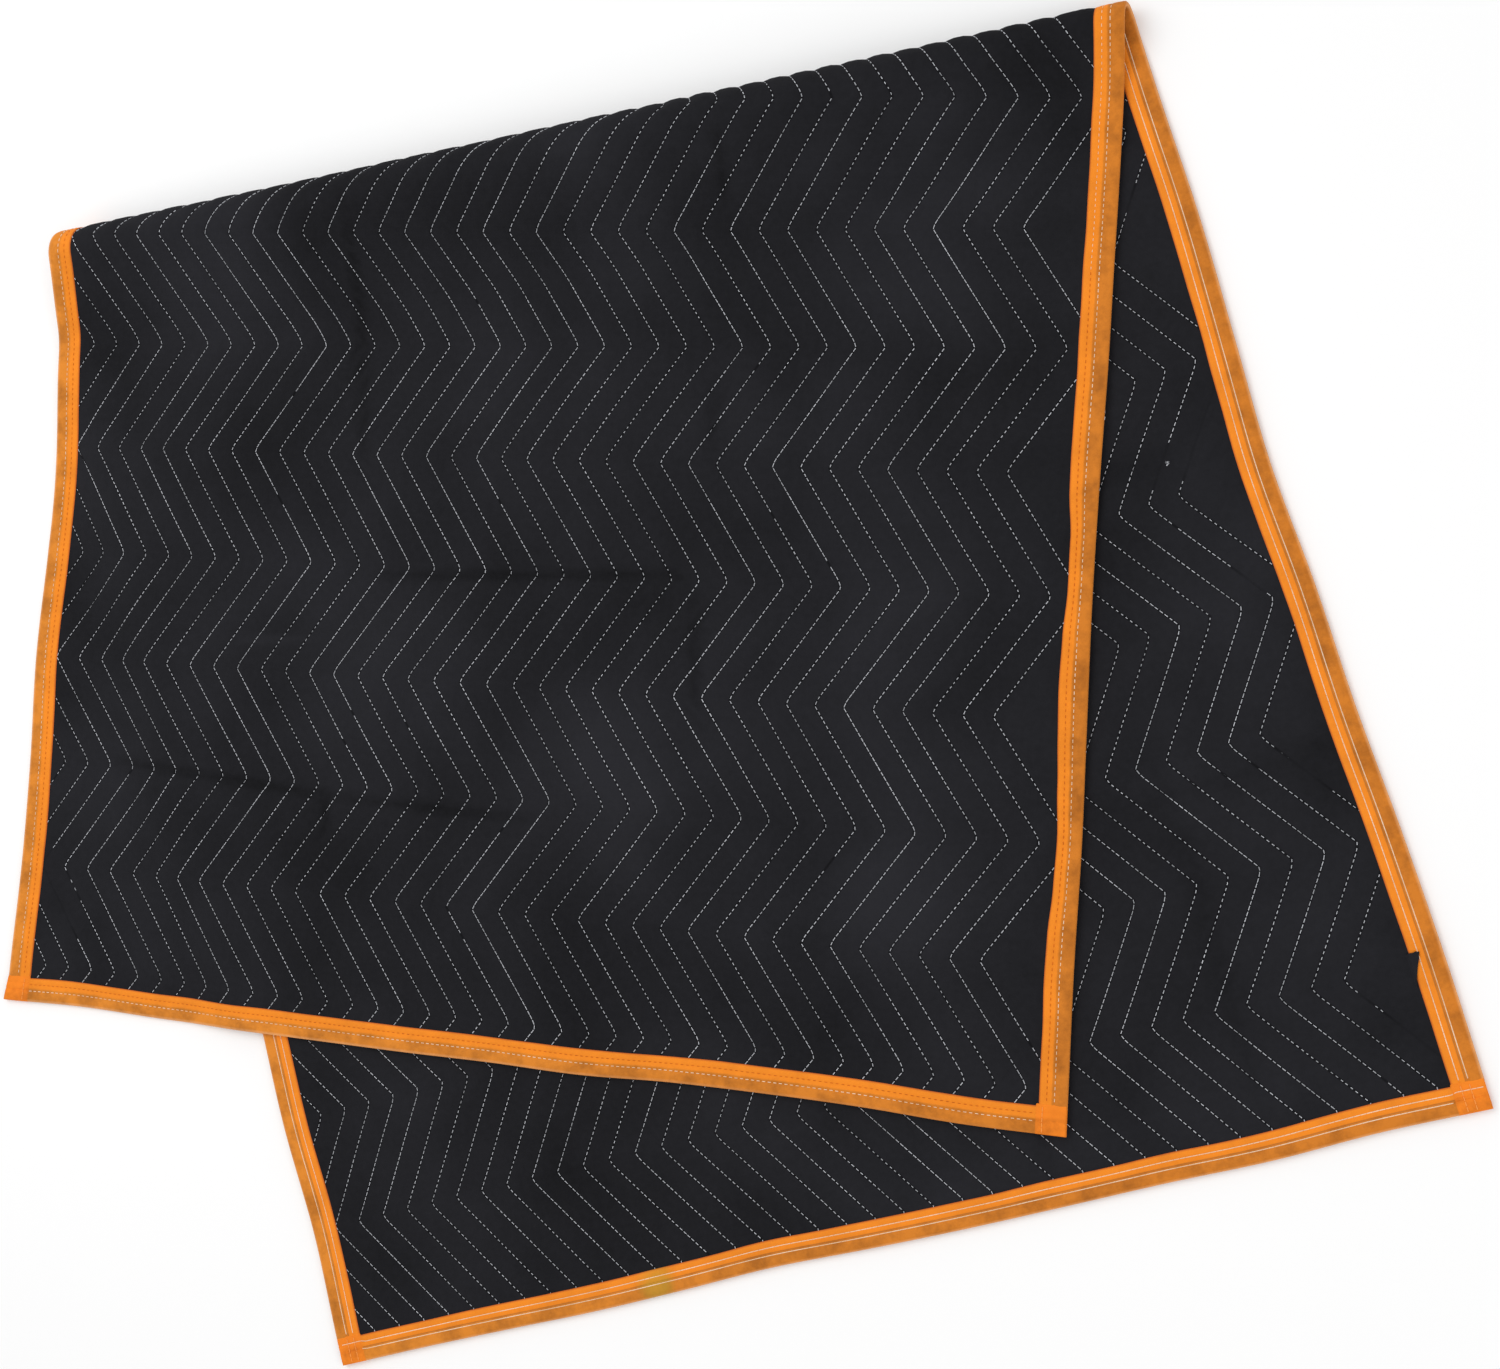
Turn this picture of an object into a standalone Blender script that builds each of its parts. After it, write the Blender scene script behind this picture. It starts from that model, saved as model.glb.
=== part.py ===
"""A quilted moving pad, folded over once and lying on a surface.

Every piece is modelled on the flat pad, as it is cut and sewn, and then folded.
On the flat pad u runs across from the middle, v runs along from the lower hem,
and w is the height through the thickness: minus is the outer face, plus the
inner face, which the fold turns inwards. Lengths are in metres and +Z is up.
"""

import math

import bmesh
import bpy
from mathutils import Vector

# Cut size of the pad, with its binding on
PAD_WIDTH = 1.006
PAD_LENGTH = 1.852

# Thickness, each from the middle of the pad to one face
RIDGE_HALF = 0.0025
SEAM_HALF = 0.0013
PRESSED_HALF = 0.0011

# Binding tape, folded round the pressed edge of the pad
BINDING_WIDTH = 0.0245
BINDING_CLOTH = 0.0009
CLEARANCE = 0.0005
END_GAP = 0.0003
HEM_PARTS = 8

# Points of the flat pad closer than this are one point
MERGE = 1e-5

# Zigzag quilting: the seams run along the pad, side by side
SEAM_PITCH = 0.0252
HALF_REPEAT = 0.0996
SWING = 0.0669
LAST_SEAM = 36
MIDDLE_SEAM = 17.7
FIRST_TIP_ROW = 0.0235

# The fold: its line crosses the pad at a slant, and the cloth turns over in a soft loop
FOLD_START = 0.973
FOLD_SLANT = math.radians(10.0)
LOOP_RADIUS = 0.023
LOOP_STEPS = 6
FALL_ANGLE = math.radians(22.0)
LANDING_RADIUS = 0.060
LANDING_STEPS = 2
LAYER_GAP = 0.002

# The upper layer steps down to the surface past the left edge of the lower layer
STEP_START = 0.012
STEP_REACH = 0.068
STEP_FADE = 0.140

# How far each side edge wanders outwards at the rows of zigzag tips, in millimetres
EDGE_WANDER = (
    # left, right
    (4, 9),
    (4, 9),
    (0, 6),
    (2, 3),
    (0, -1),
    (0, -4),
    (0, -6),
    (0, -4),
    (0, -3),
    (0, -4),
    (-2, -4),
    (-7, -1),
    (-9, 0),
    (-6, -1),
    (-6, -2),
    (-5, -2),
    (1, -1),
    (0, 2),
    (2, 2),
    (7, 5),
    (10, 7),
)

# Soft swells of the upper layer, in millimetres on the flat pad
SWELLS = (
    # across, along, reach, height
    (-330, 1300, 150, 5),
    (-110, 1560, 130, 5),
    (60, 1230, 160, 6),
    (130, 1560, 120, 4),
    (330, 1610, 160, 7),
    (330, 1180, 150, 5),
)

ACROSS_FOLD = Vector((math.sin(FOLD_SLANT), math.cos(FOLD_SLANT), 0))
ALONG_FOLD = Vector((math.cos(FOLD_SLANT), -math.sin(FOLD_SLANT), 0))
FOLD_POINT = Vector((0, FOLD_START, 0))
UPPER_HEIGHT = RIDGE_HALF * 3 + LAYER_GAP


def fold_stations():
    """The folded cross-section as (distance along the cloth, distance out, height, normal angle)."""
    stations = [(-PAD_LENGTH, -PAD_LENGTH, RIDGE_HALF, 0.0)]
    turn = math.pi + FALL_ANGLE
    for step in range(LOOP_STEPS + 1):
        angle = turn * step / LOOP_STEPS
        out = LOOP_RADIUS * math.sin(angle)
        height = RIDGE_HALF + LOOP_RADIUS * (1 - math.cos(angle))
        stations.append((LOOP_RADIUS * angle, out, height, angle))
    length, out, height, _ = stations[-1]
    landing_drop = LANDING_RADIUS * (1 - math.cos(FALL_ANGLE))
    slope = (height - UPPER_HEIGHT - landing_drop) / math.sin(FALL_ANGLE)
    length += slope
    out -= slope * math.cos(FALL_ANGLE)
    for step in range(LANDING_STEPS + 1):
        left = FALL_ANGLE * (1 - step / LANDING_STEPS)
        gone = FALL_ANGLE - left
        run = LANDING_RADIUS * (math.sin(FALL_ANGLE) - math.sin(left))
        rise = LANDING_RADIUS * (1 - math.cos(left))
        stations.append((length + LANDING_RADIUS * gone, out - run, UPPER_HEIGHT + rise, math.pi + left))
    length, out, height, angle = stations[-1]
    stations.append((length + PAD_LENGTH, out - PAD_LENGTH, height, angle))
    return stations


STATIONS = fold_stations()
LANDED, LANDED_OUT, _, _ = STATIONS[-2]


def zigzag(v):
    """How far a seam has swung to the right at v."""
    phase = (v - FIRST_TIP_ROW) / HALF_REPEAT % 2
    return SWING * (0.5 - min(phase, 2 - phase))


def wander(u, v):
    """The sideways shift of a point, straight from row to row and from side to side."""
    place = min(max((v - FIRST_TIP_ROW) / HALF_REPEAT + 1, 0), len(EDGE_WANDER) - 1.001)
    row = int(place)
    side = 0 if u < 0 else 1
    near = EDGE_WANDER[row][side]
    far = EDGE_WANDER[row + 1][side]
    return 0.001 * (near + (far - near) * (place - row)) * u / (PAD_WIDTH / 2)


def swell(u, v):
    """The lift of the upper layer where it doesn't lie flat."""
    lift = 0.0
    for across, along, reach, height in SWELLS:
        distance = math.hypot(u * 1000 - across, v * 1000 - along) / reach
        if distance < 1:
            lift += 0.001 * height * (1 - distance**2) ** 2
    return lift


def past_fold(u, v):
    """How far a point lies past the fold's start, along the cloth."""
    return (Vector((u, v, 0)) - FOLD_POINT).dot(ACROSS_FOLD)


def past_left_edge(u, v):
    """How far a point of the upper layer lies past the left edge of the lower one, once folded."""
    out = LANDED_OUT + LANDED - past_fold(u, v)
    along = (Vector((u, v, 0)) - FOLD_POINT).dot(ALONG_FOLD)
    return -PAD_WIDTH / 2 - (FOLD_POINT + ALONG_FOLD * along + ACROSS_FOLD * out).x


def step_down(u, v):
    """How much of its step down to the surface a point has taken, from 0 to 1."""
    sideways = (past_left_edge(u, v) - STEP_START) / STEP_REACH
    onwards = (past_fold(u, v) - LANDED) / STEP_FADE
    return min(1.0, max(0.0, min(sideways, onwards)))


def folded(point):
    """Where a point of the flat pad lies on the folded one."""
    u, v, w = point
    past = past_fold(u, v)
    index = 1
    while STATIONS[index][0] < past and index < len(STATIONS) - 1:
        index += 1
    ends = []
    for length, out, height, angle in STATIONS[index - 1 : index + 1]:
        ends.append(Vector((out - w * math.sin(angle), height + w * math.cos(angle))))
    start, end = STATIONS[index - 1][0], STATIONS[index][0]
    out, height = ends[0].lerp(ends[1], (past - start) / (end - start))
    along = (Vector((u, v, 0)) - FOLD_POINT).dot(ALONG_FOLD) + wander(u, v)
    place = FOLD_POINT + ALONG_FOLD * along + ACROSS_FOLD * out
    if past > LANDED:
        height += swell(u, v) * min(1.0, (past - LANDED) / STEP_FADE)
        height -= (UPPER_HEIGHT - RIDGE_HALF) * step_down(u, v)
    return Vector((place.x, place.y, height))


def cut(bm, point, normal, drop=False, faces=None):
    """A straight cut of all or some faces, which drops what lies past it where drop is set."""
    if faces is None:
        geometry = bm.verts[:] + bm.edges[:] + bm.faces[:]
    else:
        edges = {edge for face in faces for edge in face.edges}
        verts = {vert for face in faces for vert in face.verts}
        geometry = [*verts, *edges, *faces]
    bmesh.ops.bisect_plane(
        bm, geom=geometry, dist=MERGE, plane_co=point, plane_no=normal, clear_outer=drop
    )


def middle_of(face):
    """Where the middle of a face lies on the flat pad."""
    return face.calc_center_median().xy


def cut_where(bm, measure, faces):
    """Edges where a measure of the flat pad, which changes evenly over it, is zero."""
    base = measure(0, 0)
    slope = Vector((measure(1, 0) - base, measure(0, 1) - base, 0))
    cut(bm, slope * (-base / slope.length_squared), slope.normalized(), faces=faces)


def cut_folds(bm):
    """Edges wherever the folded shape turns, so that all pieces bend at the same places."""
    for length, _, _, _ in STATIONS[1:-1]:
        cut(bm, FOLD_POINT + ACROSS_FOLD * length, ACROSS_FOLD)
    turns = (
        lambda u, v: past_left_edge(u, v) - STEP_START,
        lambda u, v: past_left_edge(u, v) - STEP_START - STEP_REACH,
        lambda u, v: past_fold(u, v) - LANDED - STEP_FADE,
        lambda u, v: (past_left_edge(u, v) - STEP_START) / STEP_REACH
        - (past_fold(u, v) - LANDED) / STEP_FADE,
    )
    for measure in turns:
        cut_where(bm, measure, [face for face in bm.faces if past_fold(*middle_of(face)) > LANDED])


def finished(bm, name, material):
    """Folds the flat piece, and makes it an object."""
    for vert in bm.verts:
        vert.co = folded(vert.co)
    bmesh.ops.triangulate(bm, faces=bm.faces[:])
    bmesh.ops.recalc_face_normals(bm, faces=bm.faces[:])
    mesh = bpy.data.meshes.new(name)
    bm.to_mesh(mesh)
    bm.free()
    mesh.shade_smooth()
    mesh.set_sharp_from_angle(angle=math.radians(40))
    piece = bpy.data.objects.new(name, mesh)
    piece.data.materials.append(material)
    bpy.context.scene.collection.objects.link(piece)


def cloth(name, colour, roughness):
    material = bpy.data.materials.new(name)
    material.use_nodes = True
    shader = material.node_tree.nodes["Principled BSDF"]
    shader.inputs["Base Color"].default_value = (*colour, 1)
    shader.inputs["Roughness"].default_value = roughness
    shader.inputs["Metallic"].default_value = 0
    return material


def half_thickness(u, v):
    """From the middle of the panel to its face: thin at a seam and at the edge, full between seams."""
    inset = BINDING_WIDTH + END_GAP + MERGE
    if abs(u) > PAD_WIDTH / 2 - inset or abs(v - PAD_LENGTH / 2) > PAD_LENGTH / 2 - inset:
        return PRESSED_HALF
    seam = MIDDLE_SEAM + (u - zigzag(v)) / SEAM_PITCH
    puff = 1.0 if seam > LAST_SEAM + 0.5 else abs(math.sin(math.pi * seam))
    return SEAM_HALF + (RIDGE_HALF - SEAM_HALF) * puff


def quilted_panel(material):
    """The two cloths and the wadding, sewn through, as one solid with its seams drawn in."""
    edge = BINDING_CLOTH + CLEARANCE
    reach = PAD_WIDTH / 2 + SWING
    first = math.floor(MIDDLE_SEAM - reach / SEAM_PITCH)
    last = math.ceil(MIDDLE_SEAM + reach / SEAM_PITCH)
    columns = 2 * (last - first)
    rows = math.ceil((PAD_LENGTH - FIRST_TIP_ROW) / HALF_REPEAT) + 1
    bm = bmesh.new()
    bmesh.ops.create_grid(bm, x_segments=columns, y_segments=rows, size=0.5)
    for vert in bm.verts:
        row = round((vert.co.y + 0.5) * rows) - 1
        seam = first + round((vert.co.x + 0.5) * columns) / 2
        v = FIRST_TIP_ROW + row * HALF_REPEAT
        vert.co = Vector(((seam - MIDDLE_SEAM) * SEAM_PITCH + zigzag(v), v, 0))
    for inset, drop in ((edge, True), (BINDING_WIDTH + END_GAP, False)):
        cut(bm, Vector((-PAD_WIDTH / 2 + inset, 0, 0)), Vector((-1, 0, 0)), drop)
        cut(bm, Vector((PAD_WIDTH / 2 - inset, 0, 0)), Vector((1, 0, 0)), drop)
        cut(bm, Vector((0, inset, 0)), Vector((0, -1, 0)), drop)
        cut(bm, Vector((0, PAD_LENGTH - inset, 0)), Vector((0, 1, 0)), drop)
    cut_folds(bm)
    bmesh.ops.solidify(bm, geom=bm.faces[:], thickness=RIDGE_HALF)
    middle = sum(v.co.z for v in bm.verts) / len(bm.verts)
    for vert in bm.verts:
        half = half_thickness(vert.co.x, vert.co.y)
        lower = past_fold(*vert.co.xy) < MERGE
        on_surface = vert.co.z < middle and half > PRESSED_HALF and lower
        vert.co.z = -RIDGE_HALF if on_surface else math.copysign(half, vert.co.z - middle)
    underside = [
        face
        for face in bm.faces
        if past_fold(*middle_of(face)) < 0 and max(vert.co.z for vert in face.verts) < MERGE - RIDGE_HALF
    ]
    bmesh.ops.dissolve_faces(bm, faces=underside, use_verts=True)
    finished(bm, "quilted_panel", material)


def binding(name, start, end, inward, material):
    """A tape folded lengthwise round the pad's edge, from start to end, open on the inward side."""
    inner = PRESSED_HALF + CLEARANCE
    outer = inner + BINDING_CLOTH
    bm = bmesh.new()
    corners = {}
    for depth in (0, BINDING_CLOTH, BINDING_WIDTH):
        for height in (-outer, -inner, inner, outer):
            corners[depth, height] = bm.verts.new(start + inward * depth + Vector((0, 0, height)))
    faces = []
    for near, far, low, high in (
        (0, BINDING_CLOTH, -outer, -inner),
        (0, BINDING_CLOTH, -inner, inner),
        (0, BINDING_CLOTH, inner, outer),
        (BINDING_CLOTH, BINDING_WIDTH, -outer, -inner),
        (BINDING_CLOTH, BINDING_WIDTH, inner, outer),
    ):
        places = ((near, low), (far, low), (far, high), (near, high))
        faces.append(bm.faces.new([corners[place] for place in places]))
    made = bmesh.ops.extrude_face_region(bm, geom=faces, use_keep_orig=True)["geom"]
    moved = [g for g in made if isinstance(g, bmesh.types.BMVert)]
    bmesh.ops.translate(bm, verts=moved, vec=end - start)
    for row in range(len(EDGE_WANDER)):
        cut(bm, Vector((0, FIRST_TIP_ROW + (row - 1) * HALF_REPEAT, 0)), Vector((0, 1, 0)))
    for part in range(1, HEM_PARTS):
        cut(bm, Vector(((part / HEM_PARTS - 0.5) * PAD_WIDTH, 0, 0)), Vector((1, 0, 0)))
    cut_folds(bm)
    finished(bm, name, material)


def place_on_surface():
    """Puts the origin on the surface, under the middle of the folded pad."""
    verts = [vert for piece in bpy.context.scene.objects for vert in piece.data.vertices]
    low = Vector([min(vert.co[axis] for vert in verts) for axis in range(3)])
    high = Vector([max(vert.co[axis] for vert in verts) for axis in range(3)])
    foot = Vector(((low.x + high.x) / 2, (low.y + high.y) / 2, low.z))
    for vert in verts:
        vert.co -= foot


def main():
    for old in list(bpy.data.objects):
        bpy.data.objects.remove(old)
    black = cloth("black_quilt_cloth", (0.018, 0.018, 0.022), 0.9)
    orange = cloth("orange_binding_tape", (0.80, 0.23, 0.02), 0.7)
    quilted_panel(black)
    edge = PAD_WIDTH / 2
    start = BINDING_WIDTH + END_GAP
    across, along = Vector((1, 0, 0)), Vector((0, 1, 0))
    for name, side in (("binding_left", -1), ("binding_right", 1)):
        low = across * edge * side + along * start
        binding(name, low, low + along * (PAD_LENGTH - 2 * start), across * -side, orange)
    for name, v, inward in (("binding_lower_hem", 0, along), ("binding_upper_hem", PAD_LENGTH, -along)):
        binding(name, along * v - across * edge, along * v + across * edge, inward, orange)
    place_on_surface()


main()
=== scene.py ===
"""A quilted moving pad, folded over once askew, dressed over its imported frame.

Every piece is laid out on the flat pad, as it is cut and sewn, and then folded. On the flat pad
u runs across from the middle, v runs along from the lower hem, and w is the height through the
thickness: minus is the outer face, plus the inner face, which the fold turns inwards.
Lengths are in metres and +Z is up, unless a comment says millimetres.
"""

import math
import random
from collections import namedtuple
from functools import partial

import bmesh
import bpy
from bpy.props import FloatProperty, FloatVectorProperty, PointerProperty
from mathutils import Matrix, Vector, noise


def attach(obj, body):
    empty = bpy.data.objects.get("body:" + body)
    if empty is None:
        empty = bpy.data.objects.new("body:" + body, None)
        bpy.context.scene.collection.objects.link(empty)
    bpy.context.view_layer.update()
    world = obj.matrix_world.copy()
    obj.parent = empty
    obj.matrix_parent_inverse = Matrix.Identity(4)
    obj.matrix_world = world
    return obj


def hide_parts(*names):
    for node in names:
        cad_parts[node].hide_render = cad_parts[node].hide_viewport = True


bl_info = {
    "name": "Quilted moving pad",
    "version": (1, 0, 0),
    "blender": (4, 5, 0),
    "location": "3D View > Sidebar > Moving Pad",
    "description": "Builds the pad's quilted cloth, its bindings, its stitching and its studio",
    "category": "Object",
}

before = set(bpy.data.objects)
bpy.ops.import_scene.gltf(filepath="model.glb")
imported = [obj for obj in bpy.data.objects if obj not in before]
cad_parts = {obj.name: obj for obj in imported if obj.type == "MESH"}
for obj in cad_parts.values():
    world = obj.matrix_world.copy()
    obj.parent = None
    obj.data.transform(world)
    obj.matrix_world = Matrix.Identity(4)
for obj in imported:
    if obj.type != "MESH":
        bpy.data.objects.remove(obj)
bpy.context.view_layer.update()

# Cut size of the pad, with its binding on
PAD_WIDTH = 1.006
PAD_LENGTH = 1.852
HALF_WIDTH = PAD_WIDTH / 2

# Thickness, each from the middle of the pad to one face: at a ridge, at a seam and under the tapes
RIDGE_HALF = 0.0025
SEAM_HALF = 0.0013
PRESSED_HALF = 0.0011

# Binding tape, folded round the pad's pressed edge; the quilting runs on a little way under it
BINDING_WIDTH = 0.0245
BINDING_CLOTH = 0.0009
HEM_WIDTH = 0.0228
SIDE_TAPE_START = 0.0215
UNDER_TAPE = 0.003

# The cloth fills out from just under the tape's inner edge
FILLS_FROM = BINDING_WIDTH - 0.004
FILLS_OVER = 0.014

# A hem's ends are turned in, which makes them thicker and wider, and are sewn shut at the tip
TURNED_END = 0.0248
TURNED_LIFT = 0.0006
TURNED_WIDER = 1.08
END_CLOSED = 0.0025
END_HALF = 0.001

# How far in from a hem's end its closing seams lie
OUTER_CLOSING_LINE = 0.0195
INNER_CLOSING_LINES = (0.0179, 0.0111)

# The left end of the upper hem splays out to the side
FLARE = 0.0035
FLARE_REACH = 0.03

# Zigzag quilting: the seams run along the pad, side by side
SEAM_PITCH = 0.0252
HALF_REPEAT = 0.0996
SWING = 0.0669
FIRST_SEAM = -2
LAST_SEAM = 36
MIDDLE_SEAM = 17.7
FIRST_TIP_ROW = 0.0235
FIRST_ROW = -1
LAST_ROW = 19
LOOP_ROWS = range(8, 12)
LOOP_STEPS = 24

# How far the rows of tips lie off their even repeat by the fold, from this row on, in millimetres
DRIFT_ROW = 7
TIP_DRIFT = ((0.0,), (0.0,), (-3.0,), (-12.5,), (-4.5,), (-1.5,), (0.0,), (0.0,))

# A leg of the zigzag bends over its last part, and its slope falls to this share at the tip
EASE_START = 0.91
TIP_SLOPE = 0.35
LEG_SLOPE = 1 / (1 - (1 - TIP_SLOPE) * (1 - EASE_START) / 2)

# The fold: a slanting line, a soft loop, a slope down and a landing on the lower layer
FOLD_START = 0.973
FOLD_SLANT = math.radians(10.0)
SLANT_SIN = math.sin(FOLD_SLANT)
SLANT_COS = math.cos(FOLD_SLANT)
LOOP_RADIUS = 0.023
FALL_ANGLE = math.radians(22.0)
TURN = math.pi + FALL_ANGLE
LANDING_RADIUS = 0.060
LAYER_GAP = 0.002
UPPER_HEIGHT = RIDGE_HALF * 3 + LAYER_GAP

# The ridges bulge by this much more where they are stretched round the loop
FOLD_BULGE = 0.0009

# The tapes press the loop flatter towards both ends of the fold
LEFT_RADIUS = 0.0185
RIGHT_RADIUS = 0.012
END_REACH = 0.22

# The loop is drawn in by this much, and the cloth beside it is a little gathered
DRAWN_IN = 0.0038
DRAWN_IN_RIGHT = 0.0024
GATHERED_BEFORE = 0.14
GATHERED_FROM = 0.16

# The upper layer steps down to the surface past the left edge of the lower layer
STEP_START = 0.012
STEP_REACH = 0.068
STEP_FADE = 0.140

# Neither layer lies quite flat, and nothing reaches below this height
RIPPLE = 0.0006
LOWEST = 0.0001

# From the flat pad to the row frame, whose origin is under the middle of the folded pad
SHIFT = Vector((0.1278, -0.54226, 0))

# How far each side edge wanders outwards at the rows of zigzag tips, in millimetres
EDGE_WANDER = (
    # left, right
    (1, 7), (1, 6), (-2, 6), (2, 3), (0, -2), (0, -4), (0, -9),
    (0, -7), (0, -5), (0, -6), (-2, -6), (-7, -4), (-10, -3), (-7, -2),
    (-10, -3), (-5, -3), (1, -1), (0, 1), (2, 1), (7, 3), (10, 5),
)

# How far each hem wanders outwards, in millimetres, at even steps from the left end to the right
HEM_WANDER = (
    # lower, upper
    (-1.0, -5.0), (-1.5, -7.0), (-1.0, -5.0), (0.0, -4.5), (-1.5, -4.0),
    (-4.0, -3.5), (-2.0, -4.0), (-1.0, -3.0), (-1.5, -6.5), (-2.5, -7.0),
    (-2.0, -6.0), (-5.5, -2.5), (-5.0, -2.5),
)
HEM_REACH = 0.16

# Where the right edge tape is narrower on the outer face, in millimetres
NARROWER = (
    # along, by
    (1290, 0.0), (1330, 0.5), (1370, 4.0), (1410, 4.5), (1450, 2.0),
    (1490, 0.8), (1531, 2.0), (1571, 3.3), (1611, 5.0), (1651, 3.7),
    (1691, 2.0), (1731, 1.2), (1771, 2.0), (1840, 2.0),
)

# Soft swells of the upper layer, in millimetres on the flat pad
SWELLS = (
    # across, along, reach, height
    (-330, 1300, 150, 5), (-110, 1560, 130, 5), (60, 1230, 160, 6),
    (130, 1560, 120, 4), (330, 1610, 160, 7), (330, 1180, 150, 5),
)

# Creases left by packing, in millimetres on the flat pad; a trough has a minus height
CREASES = (
    # across, along, to across, to along, half width, height
    (-184, 1087, -164, 1350, 5, -1.3), (-179, 1622, -176, 1658, 5, -1.2),
    (168, 1032, 172, 1092, 5, -1.2), (167, 1254, 171, 1305, 5, -1.3),
    (164, 1434, 171, 1536, 5, -1.3), (-139, 1426, 149, 1413, 4.5, -1.3),
    (-277, 1491, -205, 1487, 4, 1.1), (-408, 1611, -179, 1627, 4.5, -1.4),
    (-179, 1627, 24, 1633, 4.5, -1.2), (166, 20, 170, 210, 7, -0.8),
    (300, 296, 500, 302, 7, -0.8), (372, 556, 500, 545, 6, -0.7),
    (338, 30, 345, 330, 8, -0.6),
)

# Where creases cross the pad, so that the panel's rows stand closer together
CREASE_ROWS = (
    # from, to
    (1.404, 1.434), (1.482, 1.497), (1.604, 1.639),
)

# Patches of the outer face that packing has rubbed pale, in millimetres on the flat pad
RUBBED = (
    # across, along, reach, strength
    (363, 1692, 95, 0.30), (30, 1037, 80, 0.16), (92, 1125, 85, 0.16),
    (325, 1148, 100, 0.20), (-315, 1178, 110, 0.18), (-108, 1554, 120, 0.18),
    (87, 1593, 110, 0.18), (281, 1261, 70, 0.14), (-49, 1293, 90, 0.12),
)

# Stretches of seam whose thread has come out, in millimetres along the pad
UNSTITCHED_OUTER = (
    # seam, from, to
    (37, 0, 2000), (0, 1700, 1785), (1, 1719, 1727), (1, 1729, 1735),
    (1, 1738, 1746), (29, 1640, 1652), (8, 1356, 1364),
)
UNSTITCHED_INNER = (
    # seam, from, to
    (37, 0, 2000), (36, 0, 88), (36, 99, 111), (36, 265, 296),
    (35, 426, 451), (36, 531, 595), (36, 754, 773), (35, 532, 560),
)

# Short ends of thread that lie loose on the inner face, in millimetres on the flat pad
LOOSE_ENDS = (
    # across, along, to across, to along
    (425, 550, 427.5, 547.5), (427.5, 547.5, 425, 546), (425, 546, 427, 549.5),
    (424.5, 548.5, 428, 548.8), (392, 617, 391.4, 614.4), (390.8, 611.5, 390, 608.7),
    (389.4, 605.6, 388.7, 602.9), (388, 600, 387, 597.5),
)


def smooth(value):
    """From 0 to 1 with a soft start and end."""
    value = min(1.0, max(0.0, value))
    return value * value * (3 - 2 * value)


def tip_row(legs):
    """v at a place counted in legs of the zigzag."""
    return FIRST_TIP_ROW + legs * HALF_REPEAT + 0.001 * through(TIP_DRIFT, legs - DRIFT_ROW, 0)


def zigzag(v):
    """How far a seam has swung to the right at v."""
    legs = (v - FIRST_TIP_ROW) / HALF_REPEAT
    for _ in range(2):
        legs += (v - tip_row(legs)) / HALF_REPEAT
    leg = math.floor(legs)
    progress = legs - leg
    swung = LEG_SLOPE * progress
    late = progress - EASE_START
    if late > 0:
        swung -= LEG_SLOPE * (1 - TIP_SLOPE) * late**2 / (2 * (1 - EASE_START))
    return SWING * (0.5 - swung if leg % 2 == 0 else swung - 0.5)


def seam_number(u, v):
    """Whole on a seam, and a half on the ridge between two."""
    return MIDDLE_SEAM + (u - zigzag(v)) / SEAM_PITCH


def through(table, place, column):
    """A smooth line through one column of a table, at a place counted in rows."""
    last = len(table) - 1
    place = min(max(place, 0), last - 0.001)
    row = int(place)
    t = place - row
    a, b, c, d = [table[min(max(row + step, 0), last)][column] for step in (-1, 0, 1, 2)]
    return b + t / 2 * (c - a + t * (2 * a - 5 * b + 4 * c - d + t * (3 * (b - c) + d - a)))


def wander(u, v):
    """The sideways shift of a point, on a smooth line along each edge and straight from side to side."""
    side = 0 if u < 0 else 1
    place = (v - FIRST_TIP_ROW) / HALF_REPEAT + 1
    return 0.001 * through(EDGE_WANDER, place, side) * u / HALF_WIDTH


def hem_wander(u, v):
    """The lengthwise shift of a point, which fades away from the hems."""
    place = (u / PAD_WIDTH + 0.5) * (len(HEM_WANDER) - 1)
    if v < HEM_REACH:
        return -0.001 * through(HEM_WANDER, place, 0) * (1 - smooth(v / HEM_REACH))
    if v > PAD_LENGTH - HEM_REACH:
        return 0.001 * through(HEM_WANDER, place, 1) * (1 - smooth((PAD_LENGTH - v) / HEM_REACH))
    return 0.0


def near_end(along):
    """How near a point along the fold is to one end of it: 1 at the end, 0 out of its reach."""
    return smooth((along + END_REACH - HALF_WIDTH) / END_REACH)


def loop_radius(along):
    """The loop's radius, this far along the fold from the middle."""
    radius = LOOP_RADIUS - (LOOP_RADIUS - LEFT_RADIUS) * near_end(-along)
    return radius - (LOOP_RADIUS - RIGHT_RADIUS) * near_end(along)


def fold_lengths(radius):
    """The loop's measures: start and place of its slope down, start of its landing, and its end."""
    arc = radius * TURN
    arc_out = radius * math.sin(TURN)
    arc_height = RIDGE_HALF + radius * (1 - math.cos(TURN))
    drop = arc_height - UPPER_HEIGHT - LANDING_RADIUS * (1 - math.cos(FALL_ANGLE))
    slope = drop / math.sin(FALL_ANGLE)
    landed = arc + slope + LANDING_RADIUS * FALL_ANGLE
    landed_out = arc_out - slope * math.cos(FALL_ANGLE) - LANDING_RADIUS * math.sin(FALL_ANGLE)
    return arc, arc_out, arc_height, arc + slope, landed, landed_out


LANDED, LANDED_OUT = fold_lengths(LOOP_RADIUS)[-2:]
SPARE_CLOTH = LANDED + LANDED_OUT


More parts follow.
